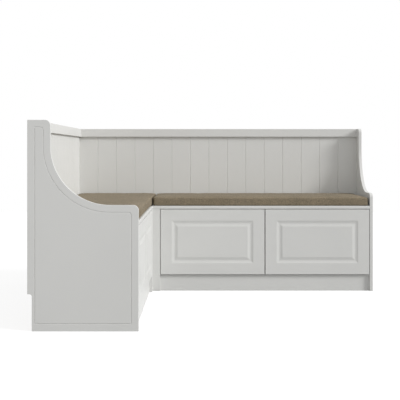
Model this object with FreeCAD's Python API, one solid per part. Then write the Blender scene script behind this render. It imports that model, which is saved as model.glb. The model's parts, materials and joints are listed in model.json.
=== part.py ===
import FreeCAD, Part
import math
import os

# Corner storage bench for two walls that meet at a right angle, in millimetres.
# The rear wing stands along the wall at +Y and the left wing along the wall at -X.
# Both wings are the same joinery, mirrored about the upright plane y = -x, so each
# piece is modelled once for the rear wing and mirrored for the left one.
# The origin is on the floor, in the middle of the square that the bench fills.

# Overall
wing_length = 1600.0  # along each wall, corner included
wing_depth = 450.0  # wall to the front plane
overall_height = 855.0
seat_height = 444.0

# Room's skirting board, which the bench is scribed over
skirting_depth = 18.5
skirting_height = 150.0
skirting_corner_radius = 10.0

# End panels
end_panel_thickness = 16.0
shoulder_depth = 93.5  # the tall part of the panel beside the wall
arm_height = 510.0
curve_radius = 240.0  # hollow curve between the shoulder and the arm
panel_corner_radius = 22.0
panel_edge_radius = 1.0
groove_inset = 29.5  # bead line, from the top, curve, arm and front
groove_rear_inset = 30.0
groove_foot_inset = 30.5
groove_width = 3.8
groove_floor_width = 1.0
groove_depth = 1.7
groove_corner_radius = 12.0

# Tongue-and-groove backing boards
backing_thickness = 15.4
backing_count = 15
backing_chamfer = 1.9
tongue_thickness = 5.0
tongue_length = 6.0
tongue_side_clearance = 0.2
tongue_end_clearance = 0.5

# Capping rail along the top of the backing boards
top_rail_height = 44.0
top_rail_depth = 28.0
top_rail_cap = 14.0  # solid part above the boards
top_rail_edge_radius = 1.0

# Seat boards
seat_thickness = 16.0
nosing_top_radius = 3.0
nosing_bottom_radius = 2.0

# Carcass
carcass_thickness = 16.0
carcass_back_thickness = 6.0
carcass_setback = 20.0  # carcass edge behind the front plane
stretcher_width = 80.0
bearer_height = 50.0
corner_bearer_height = 60.0
bearer_hole_radius = 2.75
bearer_hole_count = 4
bearer_hole_spacing = 400.0
plinth_height = 84.0
plinth_thickness = 16.0
plinth_setback = 14.0  # plinth face behind the front plane
corner_post_width = 40.0

# Drawer fronts
front_thickness = 18.0
front_side_gap = 2.5
front_middle_gap = 5.0
front_top_gap = 2.8
front_bottom_gap = 2.5
front_edge_radius = 1.5
frame_width = 59.0  # flat border round the raised field
moulding_depth = 3.0
moulding_floor_width = 3.0
cove_width = 13.0  # each hollow slope of the moulding
cove_lip = 0.6  # square step at the slope's edge
cove_sag = 0.2  # how hollow the slope is

# Drawer boxes
box_side_thickness = 12.0
box_height = 250.0
box_length = 400.0
box_floor_thickness = 6.0
box_floor_height = 12.0  # underside of the floor above the box's bottom edge
box_groove_depth = 5.0
box_groove_clearance = 0.3
box_lift = 18.0  # box above the carcass floor

# Telescopic side runners, three nested channels each
runner_thickness = 12.7
runner_height = 45.0
runner_length = 400.0
runner_sheet = 1.2
runner_clearance = 0.4
runner_setback = 2.0
runner_drop = 12.0  # middle of the runner below the middle of the box

# Touch latches that push a closed drawer out
latch_width = 14.0
latch_height = 14.0
latch_length = 52.0
latch_setback = 2.0
plunger_radius = 4.0
plunger_length = 30.0
plunger_nose_chamfer = 1.0
plunger_bore_length = 36.0
plunger_clearance = 0.3

# Seat cushions
cushion_edge_height = 45.0  # underside to the top of the rounded rim
cushion_crown = 5.0  # rise of the middle above the rim
cushion_crown_reach = 70.0  # how far in from the edge the crown goes on rising
cushion_top_radius = 7.0
cushion_bottom_radius = 5.0
cushion_rim_steps = 3
cushion_crown_steps = 3
cushion_clearance = 0.3
cushion_end_gap = 4.0
cushion_back_gap = 1.0
cushion_joint_gap = 3.0
cushion_corner_radius = 9.0
cushion_draw = 2.0  # how far each side pulls in between its corners

# Planes and levels that the pieces share
half = wing_length / 2
wall = half
front_plane = half - wing_depth
inner_corner = -front_plane
end_face = half - end_panel_thickness
carcass_front = front_plane + carcass_setback
plinth_front = front_plane + plinth_setback
plinth_back = plinth_front + plinth_thickness
carcass_back = wall - skirting_depth
carcass_inner_back = carcass_back - carcass_back_thickness
backing_face = wall - backing_thickness
seat_underside = seat_height - seat_thickness
floor_underside = plinth_height
floor_top = floor_underside + carcass_thickness
stretcher_underside = seat_underside - carcass_thickness
rail_underside = overall_height - top_rail_height
backing_top = overall_height - top_rail_cap
post_side = inner_corner + corner_post_width
fronts_width = end_face - post_side - 2 * front_side_gap - front_middle_gap
front_width = fronts_width / 2
front_low = floor_underside + front_bottom_gap
front_high = seat_underside - front_top_gap
front_back_face = front_plane + front_thickness
corner_front_x = post_side + front_side_gap
end_front_x = corner_front_x + front_width + front_middle_gap
middle_line = end_front_x - front_middle_gap / 2
corner_line = post_side + front_side_gap / 2
half_sheet = carcass_thickness / 2
box_low = floor_top + box_lift
box_high = box_low + box_height
runner_middle = box_low + box_height / 2 - runner_drop

# The hollow curve is a fillet, so the two edges that it joins limit it
curve_room = min(overall_height - arm_height, wing_depth - shoulder_depth)
bead_corner = groove_inset + groove_corner_radius + groove_width
hollow_radius = min(curve_radius, curve_room - bead_corner)


def board(x, y, z):
    """A square-edged board from its low and high limits along X, Y and Z."""
    corner = FreeCAD.Vector(x[0], y[0], z[0])
    return Part.makeBox(x[1] - x[0], y[1] - y[0], z[1] - z[0], corner)


def to_left(shape):
    """The rear wing's piece as the left wing has it."""
    origin = FreeCAD.Vector(0, 0, 0)
    return shape.mirror(origin, FreeCAD.Vector(1, 1, 0))


def save(name, *pieces):
    """Writes one node from its separate solids."""
    shape = pieces[0] if len(pieces) == 1 else Part.makeCompound(list(pieces))
    shape.exportStep(os.path.join("parts", name + ".step"))


def polygon(points):
    """A closed face through points in one plane."""
    return Part.Face(Part.makePolygon(points + [points[0]]))


def line(a, b):
    return Part.makeLine(a, b)


def quarter(start, end, centre):
    """The short arc from start to end about centre."""
    outward = (start - centre) + (end - centre)
    middle = centre + outward.normalize() * (start - centre).Length
    return Part.Arc(start, middle, end).toShape()


def panel_wire(x, inset, rear, foot, corner_radius, notched):
    """Outline of an end panel, drawn in by inset, in the plane at x.

    s is the distance out from the wall, and z the height above the floor.
    """

    def at(s, z):
        return FreeCAD.Vector(x, wall - s, z)

    top = overall_height - inset
    shoulder = shoulder_depth - inset
    arm = arm_height - inset
    front = wing_depth - inset
    curve_s = shoulder_depth + hollow_radius
    curve_z = arm_height + hollow_radius
    r = corner_radius
    edges = []
    if notched:
        k = skirting_corner_radius
        start = at(skirting_depth, foot)
        side = at(skirting_depth, skirting_height - k)
        under = at(skirting_depth - k, skirting_height)
        corner_centre = at(skirting_depth - k, skirting_height - k)
        edges.append(line(start, side))
        edges.append(quarter(side, under, corner_centre))
        edges.append(line(under, at(0, skirting_height)))
        edges.append(line(at(0, skirting_height), at(0, top)))
        rear_top = at(0, top)
    else:
        start = at(rear, foot)
        rear_top = at(rear, top)
        edges.append(line(start, rear_top))
    edges.append(line(rear_top, at(shoulder - r, top)))
    edges.append(quarter(at(shoulder - r, top), at(shoulder, top - r), at(shoulder - r, top - r)))
    edges.append(line(at(shoulder, top - r), at(shoulder, curve_z)))
    edges.append(quarter(at(shoulder, curve_z), at(curve_s, arm), at(curve_s, curve_z)))
    edges.append(line(at(curve_s, arm), at(front - r, arm)))
    edges.append(quarter(at(front - r, arm), at(front, arm - r), at(front - r, arm - r)))
    edges.append(line(at(front, arm - r), at(front, foot)))
    edges.append(line(at(front, foot), start))
    return Part.Wire(edges)


def groove_wire(depth, side):
    """One edge of the bead line at a depth below the outer face; side is -1 or +1."""
    slope = (groove_width - groove_floor_width) / 2 / groove_depth
    away = side * (groove_width / 2 - depth * slope)
    return panel_wire(
        half - depth,
        groove_inset + away,
        groove_rear_inset + away,
        groove_foot_inset + away,
        groove_corner_radius - away,
        False,
    )


def end_panel():
    """The shaped end of a wing, notched for the skirting board, with its bead line."""
    outline = Part.Face(panel_wire(end_face, 0, 0, 0, panel_corner_radius, True))
    panel = outline.extrude(FreeCAD.Vector(end_panel_thickness, 0, 0))
    rounded = []
    for edge in panel.Edges:
        box = edge.BoundBox
        in_face = box.XLength < panel_edge_radius
        against_wall = box.YMin > wall - skirting_depth - panel_edge_radius
        on_floor = box.ZMax < panel_edge_radius
        if in_face and not against_wall and not on_floor:
            rounded.append(edge)
    panel = panel.makeFillet(panel_edge_radius, rounded)
    above = -groove_depth / 2
    outer = Part.makeLoft([groove_wire(above, -1), groove_wire(groove_depth, -1)], True, True)
    inner = Part.makeLoft([groove_wire(above, 1), groove_wire(groove_depth, 1)], True, True)
    return panel.cut(outer.cut(inner))


def backing_boards(start):
    """The row of upright tongue-and-groove boards; the first one begins at start."""
    seen_start = -wall + backing_thickness
    pitch = (end_face - seen_start) / backing_count
    middle = wall - backing_thickness / 2
    c = backing_chamfer
    boards = []
    for i in range(backing_count):
        x0 = start if i == 0 else seen_start + i * pitch
        x1 = seen_start + (i + 1) * pitch
        front_left = [(x0, backing_face)] if i == 0 else [(x0, backing_face + c), (x0 + c, backing_face)]
        last = i == backing_count - 1
        front_right = [(x1, backing_face)] if last else [(x1 - c, backing_face), (x1, backing_face + c)]
        tongue = []
        if not last:
            t = tongue_thickness / 2
            tip = x1 + tongue_length
            tongue = [(x1, middle - t), (tip, middle - t), (tip, middle + t), (x1, middle + t)]
        slot = []
        if i > 0:
            t = tongue_thickness / 2 + tongue_side_clearance
            floor = x0 + tongue_length + tongue_end_clearance
            slot = [(x0, middle + t), (floor, middle + t), (floor, middle - t), (x0, middle - t)]
        outline = front_left + front_right + tongue + [(x1, wall), (x0, wall)] + slot
        face = polygon([FreeCAD.Vector(x, y, seat_height) for x, y in outline])
        boards.append(face.extrude(FreeCAD.Vector(0, 0, backing_top - seat_height)))
    return boards


def top_rail():
    """The capping rail, rebated over the boards and mitred in the corner."""
    section = [
        (0, backing_top),
        (0, overall_height),
        (top_rail_depth, overall_height),
        (top_rail_depth, rail_underside),
        (backing_thickness, rail_underside),
        (backing_thickness, backing_top),
    ]
    face = polygon([FreeCAD.Vector(-wall, wall - s, z) for s, z in section])
    rail = face.extrude(FreeCAD.Vector(end_face + wall, 0, 0))
    rounded = []
    for edge in rail.Edges:
        box = edge.BoundBox
        at_front = box.YMax < wall - top_rail_depth + top_rail_edge_radius
        if at_front and box.XLength > top_rail_depth:
            rounded.append(edge)
    rail = rail.makeFillet(top_rail_edge_radius, rounded)
    mitre_plan = [(-wall, wall), (-wall, wall - wing_depth), (-wall + wing_depth, wall - wing_depth)]
    mitre_face = polygon([FreeCAD.Vector(x, y, rail_underside) for x, y in mitre_plan])
    return rail.cut(mitre_face.extrude(FreeCAD.Vector(0, 0, top_rail_height)))


def seat_board(start, nosing_start):
    """A seat board from start to the end panel, nosed along its free front edge."""
    z = (seat_underside, seat_height)
    nosed = board((nosing_start, end_face), (front_plane, wall), z)
    for edge_height, radius in ((seat_height, nosing_top_radius), (seat_underside, nosing_bottom_radius)):
        for edge in nosed.Edges:
            box = edge.BoundBox
            at_front = box.YMax < front_plane + radius / 2
            if at_front and abs(box.ZMax - edge_height) < radius / 2 and box.ZLength < radius / 2:
                nosed = nosed.makeFillet(radius, [edge])
                break
    if start == nosing_start:
        return nosed
    corner = board((start, nosing_start), (front_plane, wall), z)
    return nosed.fuse(corner).removeSplitter()


def wall_bearer(start):
    """The batten screwed to the wall above the skirting, which carries the seat's back edge."""
    z = (seat_underside - bearer_height, seat_underside)
    bearer = board((start, end_face), (carcass_back, wall), z)
    first = -bearer_hole_spacing * (bearer_hole_count - 1) / 2
    for i in range(bearer_hole_count):
        spot = FreeCAD.Vector(first + i * bearer_hole_spacing, carcass_back, sum(z) / 2)
        hole = Part.makeCylinder(bearer_hole_radius, skirting_depth, spot, FreeCAD.Vector(0, 1, 0))
        bearer = bearer.cut(hole)
    return bearer


def partition(line_x):
    """An upright board behind a gap between two fronts."""
    x = (line_x - half_sheet, line_x + half_sheet)
    return board(x, (carcass_front, carcass_inner_back), (floor_top, seat_underside))


def stretchers(bay):
    """The front and back rails that tie the top of a drawer bay together."""
    z = (stretcher_underside, seat_underside)
    fore = board(bay, (carcass_front, carcass_front + stretcher_width), z)
    aft = board(bay, (carcass_inner_back - stretcher_width, carcass_inner_back), z)
    return fore, aft


def plinth_frame():
    """The hidden part of the plinth: a rail at the back and the cross pieces."""
    z = (0, plinth_height)
    start = corner_line - half_sheet
    rail_front = carcass_back - carcass_thickness
    pieces = [board((start, end_face), (rail_front, carcass_back), z)]
    end_line = end_face - half_sheet
    for x in (corner_line, middle_line, end_line):
        spread = (x - half_sheet, x + half_sheet)
        pieces.append(board(spread, (plinth_back, rail_front), z))
    return pieces


def moulding_cutter(x, z):
    """The routed channel round the raised field of a front, mitred at its corners."""
    low = FreeCAD.Vector(x[0] + frame_width, front_plane, z[0] + frame_width)
    high = FreeCAD.Vector(x[1] - frame_width, front_plane, z[1] - frame_width)
    middle_x = (low.x + high.x) / 2
    path = [(middle_x, low.z), (high.x, low.z), (high.x, high.z), (low.x, high.z), (low.x, low.z)]
    stations = [FreeCAD.Vector(px, front_plane, pz) for px, pz in path]
    spine = Part.makePolygon(stations + [stations[0]])

    def at(inward, depth):
        return FreeCAD.Vector(middle_x, front_plane + depth, low.z + inward)

    def cove(start, end):
        """A hollow slope between the channel's edge and its floor."""
        chord = end - start
        deeper = FreeCAD.Vector(0, chord.z, -chord.y).normalize()
        return Part.Arc(start, (start + end) / 2 + deeper * cove_sag, end).toShape()

    far_foot = cove_width + moulding_floor_width
    far_edge = far_foot + cove_width
    near_mouth, near_lip = at(0, -cove_lip), at(0, cove_lip)
    near_floor, far_floor = at(cove_width, moulding_depth), at(far_foot, moulding_depth)
    far_lip, far_mouth = at(far_edge, cove_lip), at(far_edge, -cove_lip)
    section = Part.Wire(
        [
            line(near_mouth, near_lip),
            cove(near_lip, near_floor),
            line(near_floor, far_floor),
            cove(far_floor, far_lip),
            line(far_lip, far_mouth),
            line(far_mouth, near_mouth),
        ]
    )
    pipe = Part.BRepOffsetAPI.MakePipeShell(spine)
    pipe.setTransitionMode(1)
    pipe.add(section)
    pipe.build()
    pipe.makeSolid()
    return pipe.shape()


def drawer_front(x):
    """A drawer front with a raised and fielded panel."""
    z = (front_low, front_high)
    front = board(x, (front_plane, front_back_face), z)
    rounded = [e for e in front.Edges if e.BoundBox.YMax < front_plane + front_edge_radius]
    front = front.makeFillet(front_edge_radius, rounded)
    return front.cut(moulding_cutter(x, z))


def drawer_box(bay):
    """The sides, inner front, back and floor of a drawer box hung in a bay."""
    x0 = bay[0] + runner_thickness
    x1 = bay[1] - runner_thickness
    y0 = front_back_face
    y1 = y0 + box_length
    t = box_side_thickness
    z = (box_low, box_high)
    left_side = board((x0, x0 + t), (y0, y1), z)
    right_side = board((x1 - t, x1), (y0, y1), z)
    inner_front = board((x0 + t, x1 - t), (y0, y0 + t), z)
    back = board((x0 + t, x1 - t), (y1 - t, y1), z)
    floor_low = box_low + box_floor_height
    floor_z = (floor_low, floor_low + box_floor_thickness)
    inset = t - box_groove_depth
    groove = board((x0 + inset, x1 - inset), (y0 + inset, y1 - inset), floor_z)
    edge = inset + box_groove_clearance
    floor = board((x0 + edge, x1 - edge), (y0 + edge, y1 - edge), floor_z)
    cut = [piece.cut(groove) for piece in (left_side, right_side, inner_front, back)]
    return {"box_sides": cut[:2], "box_ends": cut[2:], "box_floor": [floor]}


def channel(depth, height, y):
    """A steel channel whose web stands at X = 0 and whose flanges reach out to depth."""
    t = runner_sheet
    h = height / 2
    outline = [(0, -h), (depth, -h), (depth, t - h), (t, t - h), (t, h - t), (depth, h - t), (depth, h), (0, h)]
    face = polygon([FreeCAD.Vector(x, y[0], runner_middle + z) for x, z in outline])
    return face.extrude(FreeCAD.Vector(0, y[1] - y[0], 0))


def runner_channels():
    """Cabinet, middle and drawer channels of one runner, its cabinet side at X = 0."""
    y = (carcass_front + runner_setback, carcass_front + runner_setback + runner_length)
    step = runner_sheet + runner_clearance
    flange = runner_thickness - step
    cabinet = channel(flange, runner_height, y)
    middle = channel(flange - step, runner_height - 2 * step, y)
    middle.translate(FreeCAD.Vector(step, 0, 0))
    inner = channel(flange - step, runner_height - 4 * step, y)
    inner = inner.mirror(FreeCAD.Vector(0, 0, 0), FreeCAD.Vector(1, 0, 0))
    inner.translate(FreeCAD.Vector(runner_thickness, 0, 0))
    return cabinet, middle, inner


def runner_pair(channel_shape, bay):
    """The same channel on both sides of a bay."""
    left = channel_shape.copy()
    left.translate(FreeCAD.Vector(bay[0], 0, 0))
    right = channel_shape.mirror(FreeCAD.Vector(0, 0, 0), FreeCAD.Vector(1, 0, 0))
    right.translate(FreeCAD.Vector(bay[1], 0, 0))
    return left, right


def latch(x):
    """A latch housing on the carcass floor and its plunger, behind the middle of a front."""
    y0 = carcass_front + latch_setback
    forward = FreeCAD.Vector(0, 1, 0)
    axis_z = floor_top + latch_height / 2
    spread = (x - latch_width / 2, x + latch_width / 2)
    housing = board(spread, (y0, y0 + latch_length), (floor_top, floor_top + latch_height))
    mouth = FreeCAD.Vector(x, y0, axis_z)
    bore = Part.makeCylinder(plunger_radius + plunger_clearance, plunger_bore_length, mouth, forward)
    tip = FreeCAD.Vector(x, front_back_face + plunger_clearance, axis_z)
    plunger = Part.makeCylinder(plunger_radius, plunger_length, tip, forward)
    nose = [e for e in plunger.Edges if e.BoundBox.YMax < tip.y + plunger_clearance]
    return housing.cut(bore), plunger.makeChamfer(plunger_nose_chamfer, nose)


def cushion_outline(x, y, z, inset):
    """One level of a cushion: rounded corners, with each side drawn in between them."""
    x0, x1 = x[0] + inset, x[1] - inset
    y0, y1 = y[0] + inset, y[1] - inset
    r = cushion_corner_radius
    d = cushion_draw
    middle_x = (x0 + x1) / 2
    middle_y = (y0 + y1) / 2

    def at(px, py):
        return FreeCAD.Vector(px, py, z)

    def side(a, b, c):
        return Part.Arc(at(*a), at(*b), at(*c)).toShape()

    edges = [
        side((x0 + r, y0), (middle_x, y0 + d), (x1 - r, y0)),
        quarter(at(x1 - r, y0), at(x1, y0 + r), at(x1 - r, y0 + r)),
        side((x1, y0 + r), (x1 - d, middle_y), (x1, y1 - r)),
        quarter(at(x1, y1 - r), at(x1 - r, y1), at(x1 - r, y1 - r)),
        side((x1 - r, y1), (middle_x, y1 - d), (x0 + r, y1)),
        quarter(at(x0 + r, y1), at(x0, y1 - r), at(x0 + r, y1 - r)),
        side((x0, y1 - r), (x0 + d, middle_y), (x0, y0 + r)),
        quarter(at(x0, y0 + r), at(x0 + r, y0), at(x0 + r, y0 + r)),
    ]
    return Part.Wire(edges)


def cushion_section():
    """Heights above the underside and how far in the outline lies there, from the bottom up."""
    levels = []
    for step in range(cushion_rim_steps + 1):
        angle = math.pi / 2 * step / cushion_rim_steps
        r = cushion_bottom_radius
        levels.append((r * (1 - math.cos(angle)), r * (1 - math.sin(angle))))
    for step in range(cushion_rim_steps + 1):
        angle = math.pi / 2 * step / cushion_rim_steps
        r = cushion_top_radius
        rise = cushion_edge_height - r * (1 - math.sin(angle))
        levels.append((rise, r * (1 - math.cos(angle))))
    for step in range(1, cushion_crown_steps + 1):
        share = step / cushion_crown_steps
        rise = cushion_edge_height + cushion_crown * (1 - (1 - share) ** 2)
        inset = cushion_top_radius + share * (cushion_crown_reach - cushion_top_radius)
        levels.append((rise, inset))
    return levels


def cushion(x, y):
    """A seat cushion with a crowned top and drawn-in sides."""
    low = seat_height + cushion_clearance
    outlines = [cushion_outline(x, y, low + rise, inset) for rise, inset in cushion_section()]
    return Part.makeLoft(outlines, True, True)


os.makedirs("parts", exist_ok=True)

# Shell of the bench
save("right_end_panel", end_panel())
save("left_end_panel", to_left(end_panel()))
save("rear_backing_boards", *backing_boards(-wall + backing_thickness))
save("left_backing_boards", *[to_left(b) for b in backing_boards(-wall)])
save("rear_top_rail", top_rail())
save("left_top_rail", to_left(top_rail()))
save("rear_seat_board", seat_board(inner_corner, inner_corner))
save("left_seat_board", to_left(seat_board(-wall, inner_corner)))

# Corner posts and plinths, which reach the floor
post_z = (0, seat_underside)
rear_post = board((inner_corner - carcass_setback, post_side), (front_plane, carcass_front), post_z)
left_post = board((inner_corner, post_side), (front_plane, carcass_front), post_z)
save("rear_corner_post", rear_post)
save("left_corner_post", to_left(left_post))
plinth = board((post_side, end_face), (plinth_front, plinth_back), (0, plinth_height))
save("rear_plinth_board", plinth)
save("left_plinth_board", to_left(plinth))
save("rear_plinth_frame", *plinth_frame())
save("left_plinth_frame", *[to_left(p) for p in plinth_frame()])

# Carcass
corner_bay = (corner_line + half_sheet, middle_line - half_sheet)
end_bay = (middle_line + half_sheet, end_face)
carcass_x = (corner_line - half_sheet, end_face)
base = board(carcass_x, (carcass_front, carcass_inner_back), (floor_underside, floor_top))
save("rear_base_panel", base)
save("left_base_panel", to_left(base))
back = board(carcass_x, (carcass_inner_back, carcass_back), (floor_underside, seat_underside))
save("rear_back_panel", back)
save("left_back_panel", to_left(back))
partitions = [partition(corner_line), partition(middle_line)]
save("rear_partitions", *partitions)
save("left_partitions", *[to_left(p) for p in partitions])
ties = stretchers(corner_bay) + stretchers(end_bay)
save("rear_stretchers", *ties)
save("left_stretchers", *[to_left(t) for t in ties])
save("rear_wall_bearer", wall_bearer(-wall))
save("left_wall_bearer", to_left(wall_bearer(-carcass_back)))
bearer_x = (inner_corner - half_sheet, inner_corner + half_sheet)
corner_bearer_z = (seat_underside - corner_bearer_height, seat_underside)
save("corner_bearer", board(bearer_x, (carcass_front, carcass_back), corner_bearer_z))

# Drawers
cabinet_channel, middle_channel, drawer_channel = runner_channels()
places = {"corner": (corner_front_x, corner_bay), "end": (end_front_x, end_bay)}
cabinet_channels = []
latch_housings = []
for place, (front_x, bay) in places.items():
    housing, plunger = latch(front_x + front_width / 2)
    latch_housings.append(housing)
    cabinet_channels.extend(runner_pair(cabinet_channel, bay))
    pieces = drawer_box(bay)
    pieces["front"] = [drawer_front((front_x, front_x + front_width))]
    pieces["middle_channels"] = runner_pair(middle_channel, bay)
    pieces["drawer_channels"] = runner_pair(drawer_channel, bay)
    pieces["latch_plunger"] = [plunger]
    for name, solids in pieces.items():
        save("rear_" + place + "_" + name, *solids)
        save("left_" + place + "_" + name, *[to_left(s) for s in solids])
save("rear_cabinet_channels", *cabinet_channels)
save("left_cabinet_channels", *[to_left(c) for c in cabinet_channels])
save("rear_latch_housings", *latch_housings)
save("left_latch_housings", *[to_left(h) for h in latch_housings])

# Cushions: the left one runs into the corner, the rear one starts beside it
cushion_y = (front_plane, backing_face - cushion_back_gap)
cushion_end = end_face - cushion_end_gap
rear_cushion = cushion((inner_corner + cushion_joint_gap, cushion_end), cushion_y)
left_start = -backing_face + cushion_back_gap
left_cushion = cushion((left_start, cushion_end), cushion_y)
save("rear_cushion", rear_cushion)
save("left_cushion", to_left(left_cushion))
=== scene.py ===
import json
import math

import bpy
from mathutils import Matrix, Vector, noise
from mathutils.bvhtree import BVHTree


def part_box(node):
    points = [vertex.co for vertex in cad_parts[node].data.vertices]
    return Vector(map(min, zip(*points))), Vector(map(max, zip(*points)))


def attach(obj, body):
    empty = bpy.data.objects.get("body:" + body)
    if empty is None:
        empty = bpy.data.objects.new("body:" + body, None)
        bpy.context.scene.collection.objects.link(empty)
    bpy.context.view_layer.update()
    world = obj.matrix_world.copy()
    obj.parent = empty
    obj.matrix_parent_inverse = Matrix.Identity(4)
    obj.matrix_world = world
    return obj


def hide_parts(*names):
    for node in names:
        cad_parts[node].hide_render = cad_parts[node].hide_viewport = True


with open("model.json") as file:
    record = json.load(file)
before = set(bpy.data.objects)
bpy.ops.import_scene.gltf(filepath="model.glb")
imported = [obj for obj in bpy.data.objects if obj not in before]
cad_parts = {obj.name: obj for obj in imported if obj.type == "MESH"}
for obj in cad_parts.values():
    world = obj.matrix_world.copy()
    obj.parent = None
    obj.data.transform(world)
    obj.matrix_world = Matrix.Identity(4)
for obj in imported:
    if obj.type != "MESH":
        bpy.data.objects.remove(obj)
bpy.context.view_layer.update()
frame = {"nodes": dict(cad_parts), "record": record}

# Looks of the corner storage bench, in metres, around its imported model.
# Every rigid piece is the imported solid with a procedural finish, and each seat
# cushion is a simulated fabric cover in the place of its plain solid.

nodes = frame["nodes"]
record = frame["record"]
scene = bpy.context.scene

# Camera, level and square to the rear wing
CAMERA_PLACE = (-0.1018, -4.745, 0.724)
CAMERA_LENS = 87.9
CAMERA_SENSOR = 36.0
CAMERA_SHIFT_Y = -0.1195

# Lights and floor
KEY_TRAVEL = (-2.35, 1.0, -1.35)  # the way the key light goes
KEY_STRENGTH = 2.45
KEY_ANGLE = 17.0  # degrees across, for soft shadows
AMBIENT = 0.7
FLOOR_HALF = 7.0
FLOOR_BOUNCE = 0.3  # the floor's grey as the bench is lit by it
FLOOR_SEEN = 0.25  # its grey and glow as it is seen
FLOOR_GLOW = 0.8
WHITE = 1.0

# Simulation of the cushion covers
COVER_VOXEL = 0.006
COVER_INSET = 0.0015  # room for the swell
COVER_SMOOTHING = 1
COVER_SWELL = 0.0025  # the furthest that a point may move
COVER_QUALITY = 6
COVER_PRESSURE = 4.0
COVER_FRAMES = 20
COVER_SUBDIVISION = 1

# Shape of the covers after it
END_SLOPE_REACH = 0.085  # slope of the top towards the free end
END_SLOPE_DROP = 0.002
FULL_REACH = 0.09  # fuller edge along the walls and the joint
FULL_SHARE = 0.6
WRINKLE_SIZE = 0.045
WRINKLE_HEIGHT = 0.0009
FINE_WRINKLES = 2.3  # how much finer the second set of creases is
FINE_WRINKLE_SHARE = 0.5
SIDE_CLEARANCE = 0.0004
JOINT_FILL = 0.0026  # lean of the covers into the gap between them
JOINT_REACH = 0.03

UPRIGHT = 2  # the Z axis

# Weave and plies
THREAD_PITCH = 0.0011
PLY_PITCH = 0.0028  # a dark and a light ply

# Range that most of a noise texture's values lie in
NOISE_LOW = 0.3
NOISE_HIGH = 0.7

# Sockets of a Mix node that hold colours
MIX_COLOUR_A = 6
MIX_COLOUR_B = 7
MIX_COLOUR_RESULT = 2


class Finish:
    """A procedural material with a few helpers for its nodes."""

    def __init__(self, name, roughness, metallic=0.0):
        self.material = bpy.data.materials.new(name)
        self.material.use_nodes = True
        self.tree = self.material.node_tree
        self.shader = self.tree.nodes["Principled BSDF"]
        self.shader.inputs["Roughness"].default_value = roughness
        self.shader.inputs["Metallic"].default_value = metallic
        self.place = self.node("ShaderNodeTexCoord").outputs["Object"]
        self.normal = self.node("ShaderNodeNewGeometry").outputs["Normal"]

    def node(self, kind, **settings):
        made = self.tree.nodes.new(kind)
        for key, value in settings.items():
            setattr(made, key, value)
        return made

    def feed(self, value, socket):
        """Links value to a socket, or sets it when it is plain."""
        if isinstance(value, bpy.types.NodeSocket):
            self.tree.links.new(value, socket)
        else:
            socket.default_value = value

    def math(self, operation, *values):
        made = self.node("ShaderNodeMath", operation=operation)
        for value, socket in zip(values, made.inputs):
            self.feed(value, socket)
        return made.outputs[0]

    def split(self, vector):
        """The X, Y and Z of a vector."""
        made = self.node("ShaderNodeSeparateXYZ")
        self.feed(vector, made.inputs[0])
        return made.outputs

    def stretched(self, along, lengthwise, across):
        """The object's coordinates times one scale along an axis and another across it."""
        made = self.node("ShaderNodeMapping")
        self.feed(self.place, made.inputs["Vector"])
        made.inputs["Scale"].default_value = [lengthwise if axis == along else across for axis in range(3)]
        return made.outputs["Vector"]

    def noise(self, scale, detail=3.0, roughness=0.5, vector=None):
        """A noise texture's value; scale is in lumps per metre, unless vector is scaled."""
        made = self.node("ShaderNodeTexNoise")
        self.feed(vector or self.place, made.inputs["Vector"])
        made.inputs["Scale"].default_value = scale
        made.inputs["Detail"].default_value = detail
        made.inputs["Roughness"].default_value = roughness
        return made.outputs["Fac"]

    def ramp(self, value, stops):
        """A colour ramp through (position, linear colour) stops."""
        made = self.node("ShaderNodeValToRGB")
        self.feed(value, made.inputs["Fac"])
        elements = made.color_ramp.elements
        while len(elements) < len(stops):
            elements.new(0.5)
        for element, (position, colour) in zip(elements, stops):
            element.position = position
            element.color = (*colour, 1.0)
        return made.outputs["Color"]

    def spread(self, value, low, high):
        """The value of a noise texture taken to the range from low to high."""
        made = self.node("ShaderNodeMapRange")
        self.feed(value, made.inputs["Value"])
        made.inputs["From Min"].default_value = NOISE_LOW
        made.inputs["From Max"].default_value = NOISE_HIGH
        made.inputs["To Min"].default_value = low
        made.inputs["To Max"].default_value = high
        return made.outputs["Result"]

    def mix(self, factor, a, b, blend="MIX"):
        """Two colours mixed, where factor is the share of the second."""
        made = self.node("ShaderNodeMix", data_type="RGBA", blend_type=blend)
        self.feed(factor, made.inputs["Factor"])
        self.feed(a, made.inputs[MIX_COLOUR_A])
        self.feed(b, made.inputs[MIX_COLOUR_B])
        return made.outputs[MIX_COLOUR_RESULT]

    def times(self, a, b, share=1.0):
        """The colour a multiplied by the colour b."""
        return self.mix(share, a, b, "MULTIPLY")

    def colour(self, value):
        self.feed(value, self.shader.inputs["Base Color"])

    def roughness(self, value):
        self.feed(value, self.shader.inputs["Roughness"])

    def bump(self, height, depth):
        """Relief from a height of 0 to 1, as deep as depth."""
        made = self.node("ShaderNodeBump")
        made.inputs["Strength"].default_value = 1.0
        made.inputs["Distance"].default_value = depth
        self.feed(height, made.inputs["Height"])
        self.feed(made.outputs["Normal"], self.shader.inputs["Normal"])

    def toward(self, axis):
        """How far the surface faces along an axis, either way, from 0 to 1."""
        return self.math("ABSOLUTE", self.split(self.normal)[axis])


def tint(colour, factor):
    return tuple(channel * factor for channel in colour)


def grey(level):
    return (level, level, level)


def slot_colour(slot):
    """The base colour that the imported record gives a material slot."""
    for material in record["materials"]:
        if material["slot"] == slot:
            return tuple(material["base_color"][:3])
    raise KeyError(slot)


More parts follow.
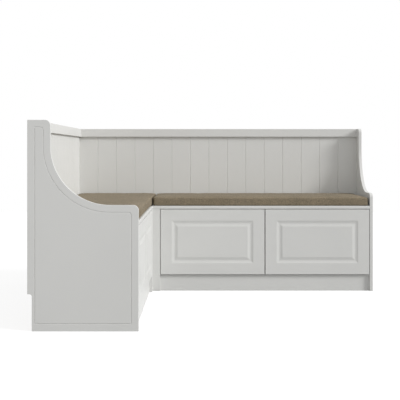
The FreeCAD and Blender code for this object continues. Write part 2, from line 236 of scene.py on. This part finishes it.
def paint(slot):
    """Sprayed satin paint on board: faint cloudiness and a fine orange peel."""
    finish = Finish("satin_paint", 0.42)
    base = slot_colour(slot)
    clouds = finish.noise(scale=2.3, detail=4.0)
    finish.colour(finish.ramp(clouds, [(0.35, tint(base, 0.985)), (0.65, tint(base, 1.015))]))
    finish.roughness(finish.spread(finish.noise(scale=9.0), low=0.38, high=0.47))
    peel = finish.noise(scale=520.0, detail=1.0)
    drift = finish.noise(scale=26.0, detail=2.0)
    drift_share = 0.6
    finish.bump(finish.math("MULTIPLY_ADD", drift, drift_share, peel), depth=0.00008)
    return finish.material


def carcass_board(slot):
    """White melamine faced board with a pebbled face."""
    finish = Finish("melamine_board", 0.5)
    base = slot_colour(slot)
    specks = finish.noise(scale=330.0, detail=2.0)
    finish.colour(finish.ramp(specks, [(0.3, tint(base, 0.97)), (0.7, base)]))
    finish.roughness(finish.spread(finish.noise(scale=60.0), low=0.44, high=0.56))
    finish.bump(finish.noise(scale=900.0, detail=2.0), depth=0.00012)
    return finish.material


def softwood(slot, along):
    """Planed pine with its growth rings running along one axis."""
    finish = Finish("planed_pine_" + "xyz"[along], 0.6)
    base = slot_colour(slot)
    rings = finish.node("ShaderNodeTexWave", wave_type="RINGS", rings_direction="XYZ"[along])
    finish.feed(finish.stretched(along, lengthwise=1.3, across=48.0), rings.inputs["Vector"])
    rings.inputs["Scale"].default_value = 1.4
    rings.inputs["Distortion"].default_value = 5.0
    rings.inputs["Detail"].default_value = 3.0
    rings.inputs["Detail Scale"].default_value = 0.8
    late = tint(base, 0.62)
    grain = finish.ramp(rings.outputs["Fac"], [(0.0, tint(base, 1.08)), (0.7, base), (0.93, late)])
    fibre_place = finish.stretched(along, lengthwise=9.0, across=420.0)
    fibres = finish.noise(scale=1.0, detail=2.0, vector=fibre_place)
    shade = finish.ramp(fibres, [(0.3, grey(0.86)), (0.7, grey(1.0))])
    finish.colour(finish.times(grain, shade))
    finish.roughness(finish.spread(fibres, low=0.52, high=0.7))
    finish.bump(fibres, depth=0.0002)
    return finish.material


def plywood(slot, along, stacked):
    """Birch plywood: grain along one axis, and its plies on the edges across another."""
    finish = Finish("birch_ply_" + "xyz"[along] + "xyz"[stacked], 0.5)
    base = slot_colour(slot)
    figure_place = finish.stretched(along, lengthwise=1.2, across=14.0)
    figure = finish.noise(scale=1.0, detail=5.0, roughness=0.6, vector=figure_place)
    face = finish.ramp(figure, [(0.3, tint(base, 0.88)), (0.5, base), (0.72, tint(base, 1.07))])
    fibre_place = finish.stretched(along, lengthwise=16.0, across=700.0)
    fibres = finish.noise(scale=1.0, detail=2.0, vector=fibre_place)
    shade = finish.ramp(fibres, [(0.3, grey(0.9)), (0.7, grey(1.0))])
    face = finish.times(face, shade)
    turns = finish.math("MULTIPLY", finish.split(finish.place)[stacked], 2 * math.pi / PLY_PITCH)
    plies = finish.math("MULTIPLY_ADD", finish.math("SINE", turns), 0.5, 0.5)
    ply_colour = finish.ramp(plies, [(0.35, tint(base, 0.66)), (0.6, tint(base, 1.02))])
    face_sharpness = 4.0
    edge = finish.math("SUBTRACT", 1.0, finish.math("POWER", finish.toward(stacked), face_sharpness))
    finish.colour(finish.mix(edge, face, ply_colour))
    finish.roughness(finish.spread(figure, low=0.42, high=0.55))
    finish.bump(fibres, depth=0.00012)
    return finish.material


def zinc(slot):
    """Rolled steel with bright zinc plating."""
    finish = Finish("zinc_plate", 0.32, metallic=1.0)
    base = slot_colour(slot)
    clouds = finish.noise(scale=55.0, detail=4.0, roughness=0.6)
    finish.colour(finish.ramp(clouds, [(0.3, tint(base, 0.9)), (0.7, tint(base, 1.04))]))
    finish.roughness(finish.spread(clouds, low=0.26, high=0.4))
    finish.bump(finish.noise(scale=800.0, detail=2.0), depth=0.00003)
    return finish.material


def plastic(slot):
    """Moulded plastic with a fine spark-eroded grain."""
    finish = Finish("moulded_" + slot, 0.55)
    base = slot_colour(slot)
    grain = finish.noise(scale=1400.0, detail=2.0)
    finish.colour(finish.ramp(grain, [(0.3, tint(base, 0.95)), (0.7, tint(base, 1.03))]))
    finish.roughness(finish.spread(grain, low=0.5, high=0.6))
    finish.bump(grain, depth=0.00006)
    return finish.material


def weave_group():
    """Height of a plain weave at U and V, counted in threads."""
    tree = bpy.data.node_groups.new("plain_weave", "ShaderNodeTree")
    for name in ("U", "V"):
        tree.interface.new_socket(name, in_out="INPUT", socket_type="NodeSocketFloat")
    tree.interface.new_socket("Height", in_out="OUTPUT", socket_type="NodeSocketFloat")
    given = tree.nodes.new("NodeGroupInput")
    result = tree.nodes.new("NodeGroupOutput")

    def step(operation, *values, clamp=False):
        made = tree.nodes.new("ShaderNodeMath")
        made.operation = operation
        made.use_clamp = clamp
        for value, socket in zip(values, made.inputs):
            if isinstance(value, bpy.types.NodeSocket):
                tree.links.new(value, socket)
            else:
                socket.default_value = value
        return made.outputs[0]

    u = step("SINE", step("MULTIPLY", given.outputs["U"], math.pi))
    v = step("SINE", step("MULTIPLY", given.outputs["V"], math.pi))
    contrast = 1.5
    over = step("MULTIPLY_ADD", step("MULTIPLY", u, v), contrast, 0.5, clamp=True)
    warp = step("MULTIPLY", step("ABSOLUTE", u), over)
    weft = step("MULTIPLY", step("ABSOLUTE", v), step("SUBTRACT", 1.0, over))
    tree.links.new(step("ADD", warp, weft), result.inputs["Height"])
    return tree


def thread_height(finish, weave):
    """Height of the weave on a surface that faces any way, with slightly wavering threads."""
    waver = finish.node("ShaderNodeTexNoise")
    finish.feed(finish.place, waver.inputs["Vector"])
    waver.inputs["Scale"].default_value = 45.0
    moved = finish.node("ShaderNodeVectorMath", operation="MULTIPLY_ADD")
    finish.feed(waver.outputs["Color"], moved.inputs[0])
    moved.inputs[1].default_value = (THREAD_PITCH,) * 3
    finish.feed(finish.place, moved.inputs[2])
    threads = finish.node("ShaderNodeMapping")
    finish.feed(moved.outputs[0], threads.inputs["Vector"])
    threads.inputs["Scale"].default_value = (1 / THREAD_PITCH,) * 3
    counted = finish.split(threads.outputs[0])
    face_sharpness = 6.0
    facing = [finish.math("POWER", finish.toward(axis), face_sharpness) for axis in range(3)]
    total = finish.math("ADD", finish.math("ADD", facing[0], facing[1]), facing[2])
    height = None
    for axis in range(3):
        pattern = finish.node("ShaderNodeGroup")
        pattern.node_tree = weave
        finish.feed(counted[(axis + 1) % 3], pattern.inputs["U"])
        finish.feed(counted[(axis + 2) % 3], pattern.inputs["V"])
        weight = finish.math("DIVIDE", facing[axis], total)
        share = finish.math("MULTIPLY", pattern.outputs["Height"], weight)
        height = share if height is None else finish.math("ADD", height, share)
    return height


def linen(slot, along, weave):
    """Slubbed taupe linen whose weft runs along one axis."""
    finish = Finish("slubbed_linen_" + "xyz"[along], 0.9)
    finish.shader.inputs["Sheen Weight"].default_value = 0.05
    finish.shader.inputs["Sheen Roughness"].default_value = 0.45
    finish.shader.inputs["Specular IOR Level"].default_value = 0.1
    height = thread_height(finish, weave)
    slub_place = finish.stretched(along, lengthwise=34.0, across=330.0)
    slubs = finish.noise(scale=1.0, detail=3.0, roughness=0.6, vector=slub_place)
    flecks = finish.noise(scale=150.0, detail=4.0, roughness=0.7)
    patches = finish.noise(scale=7.0, detail=3.0)
    base = slot_colour(slot)
    tone = finish.ramp(slubs, [(0.32, tint(base, 0.88)), (0.5, base), (0.7, tint(base, 1.11))])
    fleck = finish.ramp(flecks, [(0.35, (0.79, 0.77, 0.75)), (0.65, (1.27, 1.23, 1.16))])
    patch = finish.ramp(patches, [(0.35, grey(0.95)), (0.65, grey(1.05))])
    # painted shade: the low gaps between the threads are darkened, as the weave's hollows would be in
    # shade
    weave_gap_shade = finish.ramp(height, [(0.05, (0.6, 0.59, 0.57)), (0.55, grey(1.0))])
    tone = finish.times(tone, fleck)
    tone = finish.times(tone, patch)
    finish.colour(finish.times(tone, weave_gap_shade, share=0.8))
    slub_share = 0.5
    finish.bump(finish.math("MULTIPLY_ADD", slubs, slub_share, height), depth=0.0004)
    return finish.material


def wing_axis(node):
    """The axis along the wall that a node's wing stands against."""
    return 1 if node.startswith("left") else 0


def drawer_board_axes(node):
    """The axis of a drawer board's grain, and the one that its plies are stacked on."""
    along = wing_axis(node)
    across = 1 - along
    if node.endswith("box_sides"):
        return across, along
    if node.endswith("box_ends"):
        return along, across
    return along, UPRIGHT


def dress_nodes():
    """Gives every packed rigid solid the finish of its slot, with grain along the piece."""
    finishes = {
        "paint": paint,
        "carcass_board": carcass_board,
        "softwood": softwood,
        "drawer_board": plywood,
        "runner_steel": zinc,
        "latch_plastic": plastic,
        "latch_tip": plastic,
    }
    made = {}
    for part in record["subparts"]:
        node, slot = part["node"], part["material_slot"]
        if slot == "cushion_fabric":
            continue
        axes = ()
        if slot == "softwood":
            axes = (1 - wing_axis(node) if node == "corner_bearer" else wing_axis(node),)
        elif slot == "drawer_board":
            axes = drawer_board_axes(node)
        key = (slot, *axes)
        if key not in made:
            made[key] = finishes[slot](*key)
        materials = nodes[node].data.materials
        materials.clear()
        materials.append(made[key])


def applied(piece):
    """Bakes the piece's modifiers into its mesh."""
    state = piece.evaluated_get(bpy.context.evaluated_depsgraph_get())
    mesh = bpy.data.meshes.new_from_object(state)
    piece.modifiers.clear()
    piece.data = mesh
    return mesh


def inflate(piece):
    """Blows the cover up with Cloth, and keeps each point near where it began."""
    start = [vertex.co.copy() for vertex in piece.data.vertices]
    cloth = piece.modifiers.new("swell", "CLOTH")
    cloth.settings.quality = COVER_QUALITY
    cloth.settings.use_pressure = True
    cloth.settings.uniform_pressure_force = COVER_PRESSURE
    cloth.settings.effector_weights.gravity = 0.0
    cloth.point_cache.frame_start = 1
    cloth.point_cache.frame_end = COVER_FRAMES
    for number in range(1, COVER_FRAMES + 1):
        scene.frame_set(number)
    mesh = applied(piece)
    scene.frame_set(1)
    for vertex, before in zip(mesh.vertices, start):
        move = vertex.co - before
        if move.length > COVER_SWELL:
            vertex.co = before + move.normalized() * COVER_SWELL


def end_drop(distance):
    """How far the top slopes down at a distance from the cushion's free end."""
    share = max(0.0, 1.0 - distance / END_SLOPE_REACH)
    return END_SLOPE_DROP * share * share


def smooth_share(value):
    """0 below 0 and 1 above 1, with a smooth change between."""
    value = min(max(value, 0.0), 1.0)
    return value * value * (3 - 2 * value)


def packed_distance(point, low, high, joint_start):
    """How far a point is from the sides that press on a wall or the other cushion.

    Those are the sides at low X and high Y, and beyond joint_start the one at high X.
    """
    joint = math.hypot(high.x - point.x, max(0.0, joint_start - point.y))
    return min(high.y - point.y, point.x - low.x, joint)


def joint_push(point, low, high, along, joint_start):
    """How far a point leans along X into the gap between the two covers."""
    if along == 0:
        return -JOINT_FILL * smooth_share(1 - (point.x - low.x) / JOINT_REACH)
    beside = smooth_share(1 + (point.y - joint_start) / JOINT_REACH)
    return JOINT_FILL * beside * smooth_share(1 - (high.x - point.x) / JOINT_REACH)


def draw_in(mesh, low, high):
    """Makes the form smaller by the inset at its sides and top."""
    middle = (low + high) / 2
    size = high - low
    for vertex in mesh.vertices:
        for axis in (0, 1):
            factor = (size[axis] - 2 * COVER_INSET) / size[axis]
            vertex.co[axis] = middle[axis] + (vertex.co[axis] - middle[axis]) * factor
        vertex.co.z = low.z + (vertex.co.z - low.z) * (size.z - COVER_INSET) / size.z


def even_faces(cover):
    """Remeshes the cover with small faces of one size that lie on the form it had."""
    points = [vertex.co for vertex in cover.data.vertices]
    form = BVHTree.FromPolygons(points, [face.vertices for face in cover.data.polygons])
    remesh = cover.modifiers.new("even_faces", "REMESH")
    remesh.mode = "VOXEL"
    remesh.voxel_size = COVER_VOXEL
    smooth = cover.modifiers.new("smooth", "SMOOTH")
    smooth.iterations = COVER_SMOOTHING
    for vertex in applied(cover).vertices:
        vertex.co = form.find_nearest(vertex.co)[0]


def settle(mesh, low, high, along):
    """Creases the cover, slopes its free end, and fills it out where it is pressed."""
    height = (high - low).z
    free_end = high.x if along == 0 else low.y
    joint_start = high.y if along == 0 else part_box("rear_cushion")[0].y
    near = [low[axis] + SIDE_CLEARANCE for axis in (0, 1)]
    far = [high[axis] - SIDE_CLEARANCE for axis in (0, 1)]
    if along == 0:
        near[0] -= JOINT_FILL
    for vertex in mesh.vertices:
        rise = (vertex.co.z - low.z) / height
        seed = vertex.co / WRINKLE_SIZE
        ripple = noise.noise(seed) + FINE_WRINKLE_SHARE * noise.noise(seed * FINE_WRINKLES)
        vertex.co.z += WRINKLE_HEIGHT * ripple * rise
        vertex.co[1 - along] += WRINKLE_HEIGHT * ripple * (1 - abs(2 * rise - 1))
        to_end = abs(vertex.co[along] - free_end)
        vertex.co.z -= end_drop(to_end) * rise
        packed = 1.0 - smooth_share(packed_distance(vertex.co, low, high, joint_start) / FULL_REACH)
        packed *= smooth_share(to_end / FULL_REACH)
        vertex.co.z += FULL_SHARE * packed * smooth_share(2 * rise - 1) * max(0.0, high.z - vertex.co.z)
        vertex.co.x += joint_push(vertex.co, low, high, along, joint_start)
        for axis in (0, 1):
            vertex.co[axis] = min(max(vertex.co[axis], near[axis]), far[axis])
        vertex.co.z = max(vertex.co.z, low.z)


def cushion_cover(node, body, weave):
    """The fabric cover of a cushion, in the place of its plain solid."""
    low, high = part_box(node)
    along = wing_axis(node)
    cover = bpy.data.objects.new(node + "_cover", nodes[node].data.copy())
    scene.collection.objects.link(cover)
    draw_in(cover.data, low, high)
    even_faces(cover)
    inflate(cover)
    settle(cover.data, low, high, along)
    subdivide = cover.modifiers.new("finer", "SUBSURF")
    subdivide.levels = COVER_SUBDIVISION
    subdivide.render_levels = COVER_SUBDIVISION
    mesh = applied(cover)
    for face in mesh.polygons:
        face.use_smooth = True
    mesh.materials.clear()
    mesh.materials.append(linen("cushion_fabric", along, weave))
    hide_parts(node)
    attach(cover, body)


def place_camera():
    """The camera at the photograph's place, level and facing the rear wall."""
    data = bpy.data.cameras.new("camera")
    data.lens = CAMERA_LENS
    data.sensor_width = CAMERA_SENSOR
    data.shift_y = CAMERA_SHIFT_Y
    camera = bpy.data.objects.new("camera", data)
    camera.location = CAMERA_PLACE
    camera.rotation_euler = (math.radians(90), 0.0, 0.0)
    scene.collection.objects.link(camera)
    scene.camera = camera


def seen_directly(tree):
    """1 for rays that show the background: from the camera, or by gloss or glass."""
    path = tree.nodes.new("ShaderNodeLightPath")
    total = None
    for ray in ("Is Camera Ray", "Is Glossy Ray", "Is Transmission Ray"):
        if total is None:
            total = path.outputs[ray]
            continue
        add = tree.nodes.new("ShaderNodeMath")
        add.operation = "MAXIMUM"
        tree.links.new(total, add.inputs[0])
        tree.links.new(path.outputs[ray], add.inputs[1])
        total = add.outputs[0]
    return total


def light_world():
    """Even grey light on the object, and white where the world itself is seen."""
    world = bpy.data.worlds.new("studio")
    scene.world = world
    world.use_nodes = True
    tree = world.node_tree
    background = tree.nodes["Background"]
    background.inputs["Color"].default_value = (*grey(AMBIENT), 1.0)
    white = tree.nodes.new("ShaderNodeBackground")
    white.inputs["Color"].default_value = (*grey(WHITE), 1.0)
    mix = tree.nodes.new("ShaderNodeMixShader")
    tree.links.new(seen_directly(tree), mix.inputs[0])
    tree.links.new(background.outputs[0], mix.inputs[1])
    tree.links.new(white.outputs[0], mix.inputs[2])
    tree.links.new(mix.outputs[0], tree.nodes["World Output"].inputs["Surface"])


def place_key():
    """A wide soft light from the right, in front and above."""
    data = bpy.data.lights.new("key", "SUN")
    data.energy = KEY_STRENGTH
    data.angle = math.radians(KEY_ANGLE)
    key = bpy.data.objects.new("key", data)
    key.rotation_euler = Vector(KEY_TRAVEL).to_track_quat("-Z", "Y").to_euler()
    scene.collection.objects.link(key)


def lay_floor():
    """A pale floor that shows near-white with the bench's shadow on it."""
    h = FLOOR_HALF
    mesh = bpy.data.meshes.new("floor")
    mesh.from_pydata([(-h, -h, 0), (h, -h, 0), (h, h, 0), (-h, h, 0)], [], [(0, 1, 2, 3)])
    floor = bpy.data.objects.new("floor", mesh)
    scene.collection.objects.link(floor)
    material = bpy.data.materials.new("studio_floor")
    material.use_nodes = True
    tree = material.node_tree
    tree.nodes.remove(tree.nodes["Principled BSDF"])
    bounce = tree.nodes.new("ShaderNodeBsdfDiffuse")
    bounce.inputs["Color"].default_value = (*grey(FLOOR_BOUNCE), 1.0)
    seen = tree.nodes.new("ShaderNodeBsdfDiffuse")
    seen.inputs["Color"].default_value = (*grey(FLOOR_SEEN), 1.0)
    glow = tree.nodes.new("ShaderNodeEmission")
    glow.inputs["Strength"].default_value = FLOOR_GLOW
    both = tree.nodes.new("ShaderNodeAddShader")
    mix = tree.nodes.new("ShaderNodeMixShader")
    tree.links.new(seen.outputs[0], both.inputs[0])
    tree.links.new(glow.outputs[0], both.inputs[1])
    tree.links.new(seen_directly(tree), mix.inputs[0])
    tree.links.new(bounce.outputs[0], mix.inputs[1])
    tree.links.new(both.outputs[0], mix.inputs[2])
    tree.links.new(mix.outputs[0], tree.nodes["Material Output"].inputs["Surface"])
    mesh.materials.append(material)


place_camera()
scene.view_settings.view_transform = "Standard"
light_world()
place_key()
lay_floor()
dress_nodes()
plain_weave = weave_group()
for wing in ("rear", "left"):
    cushion_cover(wing + "_cushion", wing + "_cushion", plain_weave)
